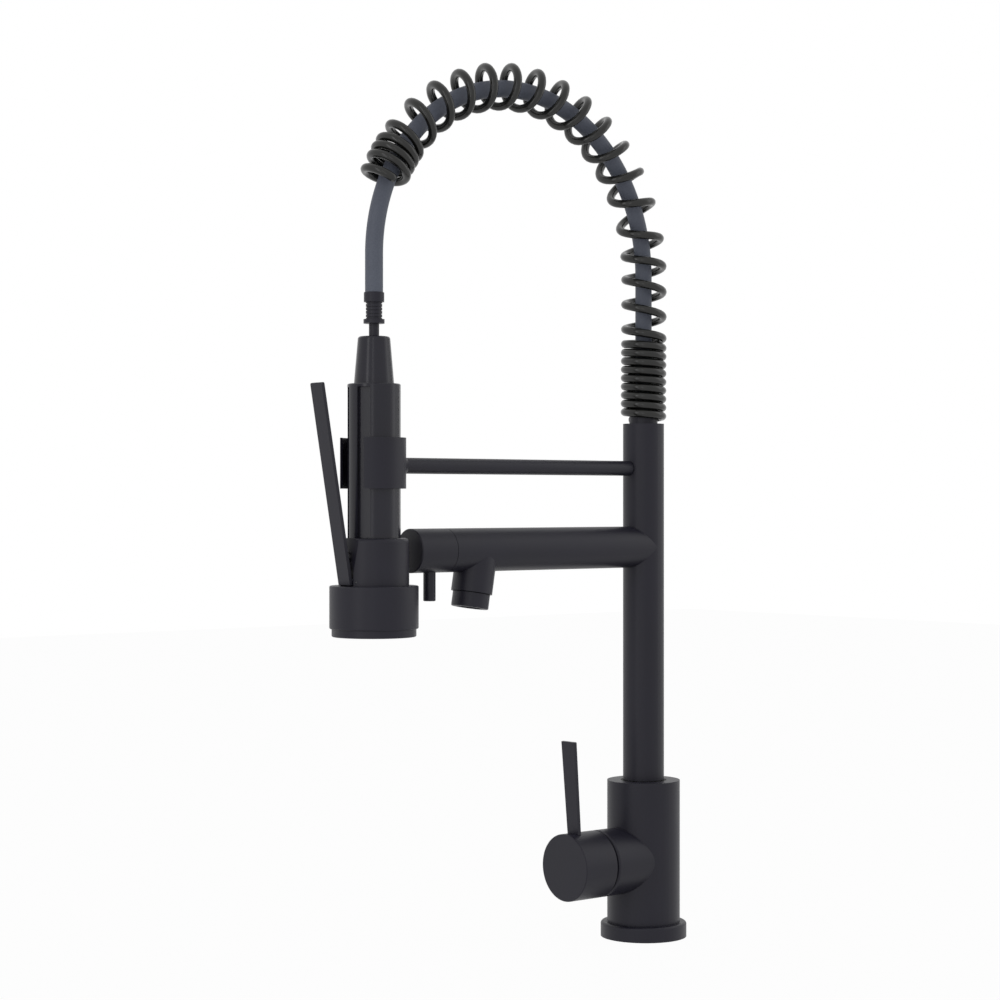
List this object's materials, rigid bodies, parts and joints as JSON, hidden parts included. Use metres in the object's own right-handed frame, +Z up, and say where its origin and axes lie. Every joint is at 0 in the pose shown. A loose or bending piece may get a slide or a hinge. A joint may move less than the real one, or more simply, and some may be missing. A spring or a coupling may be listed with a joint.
{
  "type": "pre rinse faucet",
  "caption": "Deck-mounted pre-rinse kitchen mixer: hub with side lever, swivelling column, pot-filler spout with end valve, spring arch and pull-down squeeze-lever sprayer.",
  "frame": {"origin": "centre of the base flange's underside, on the deck", "axes": "+Z up the column; -Y towards the spout, the holder and the sprayer; +X to the right when facing +Y"},
  "size_m": [0.0522, 0.2709, 0.52],
  "materials": {
    "black_metal": "satin black coating on brass",
    "black_spring": "satin black coated spring steel",
    "black_plastic": "satin black",
    "grey_hose": "slate grey smooth hose",
    "black_rubber": "moulded black",
    "brass": "machined",
    "steel": "turned stainless",
    "white_plastic": "moulded acetal",
    "ceramic_grey": "lapped ceramic"
  },
  "bodies": {
    "base": {"base_flange": "black_metal", "deck_gasket": "black_rubber", "mixer_body": "black_metal", "slip_washer": "white_plastic", "swivel_screw": "steel", "cartridge_body": "white_plastic", "cartridge_seals": "black_rubber", "cartridge_nut": "brass"},
    "mixer_carrier": {"cartridge_carrier": "white_plastic", "ceramic_disc": "ceramic_grey", "tilt_pin": "steel"},
    "mixer_handle": {"mixer_stem": "brass", "handle_cap": "black_metal", "handle_lever": "black_metal", "handle_screw": "steel"},
    "column": {"column_tube": "black_metal", "swivel_spigot": "brass", "swivel_seals": "black_rubber", "spout_tube": "black_metal", "valve_gland": "brass", "outlet_branch": "black_metal", "aerator_housing": "black_metal", "aerator_insert": "white_plastic", "aerator_washer": "black_rubber", "holder_rod": "black_metal", "holder_ring": "black_metal", "holder_screw": "steel", "spring_seat": "brass", "lower_hose_nipple": "brass", "hose": "grey_hose", "spring": "black_spring"},
    "spout_valve": {"spout_rotor": "brass", "rotor_seals": "black_rubber", "spout_end_cap": "black_metal", "spout_valve_pin": "black_metal"},
    "hose_end": {"hose_nut": "black_metal", "hose_ferrule": "black_metal", "swivel_stem": "brass", "upper_hose_nipple": "brass"},
    "sprayer": {"top_cone": "black_plastic", "check_valve": "white_plastic", "handle_shell": "black_plastic", "water_tube": "white_plastic", "valve_housing": "black_plastic", "nozzle_casing": "black_plastic", "face_ring": "black_plastic", "spray_face": "black_rubber", "diffuser": "white_plastic", "face_seal": "black_rubber", "lever_pin": "steel", "valve_spring": "steel"},
    "squeeze_lever": {"squeeze_lever": "black_metal"},
    "valve_plunger": {"valve_plunger": "steel"}
  },
  "joints": [
    {"name": "column_swivel", "type": "hinge", "parent": "base", "child": "column", "pos_m": [0, 0, 0.0952], "axis": [0, 0, 1], "continuous": true},
    {"name": "handle_turn", "type": "hinge", "parent": "base", "child": "mixer_carrier", "pos_m": [0, -0.0265, 0.0476], "axis": [0, -1, 0], "range_deg": [-45, 45]},
    {"name": "handle_tilt", "type": "hinge", "parent": "mixer_carrier", "child": "mixer_handle", "pos_m": [0, -0.0265, 0.0476], "axis": [1, 0, 0], "range_deg": [0, 25]},
    {"name": "spout_valve", "type": "hinge", "parent": "column", "child": "spout_valve", "pos_m": [0, -0.1554, 0.2374], "axis": [0, -1, 0], "range_deg": [0, 90]},
    {"name": "sprayer_pull", "type": "slide", "parent": "column", "child": "hose_end", "axis": [0, 0, -1], "range_m": [0, 0.06], "stiffness_N_per_m": 60, "springref_m": -0.08, "deforming": ["hose", "spring"]},
    {"name": "sprayer_swivel", "type": "hinge", "parent": "hose_end", "child": "sprayer", "pos_m": [0, -0.2053, 0.3566], "axis": [0, 0, 1], "range_deg": [-90, 90]},
    {"name": "lever_squeeze", "type": "hinge", "parent": "sprayer", "child": "squeeze_lever", "pos_m": [0, -0.2223, 0.221], "axis": [-1, 0, 0], "range_deg": [0, 8], "stiffness_Nm_per_rad": 0.6, "springref_deg": -6.88},
    {"name": "valve_travel", "type": "slide", "parent": "sprayer", "child": "valve_plunger", "axis": [0, 1, 0], "range_m": [0, 0.0021], "deforming": ["valve_spring"]}
  ],
  "couplings": [
    {"joint": "valve_travel", "follows": "lever_squeeze", "m_per_rad": 0.015}
  ]
}
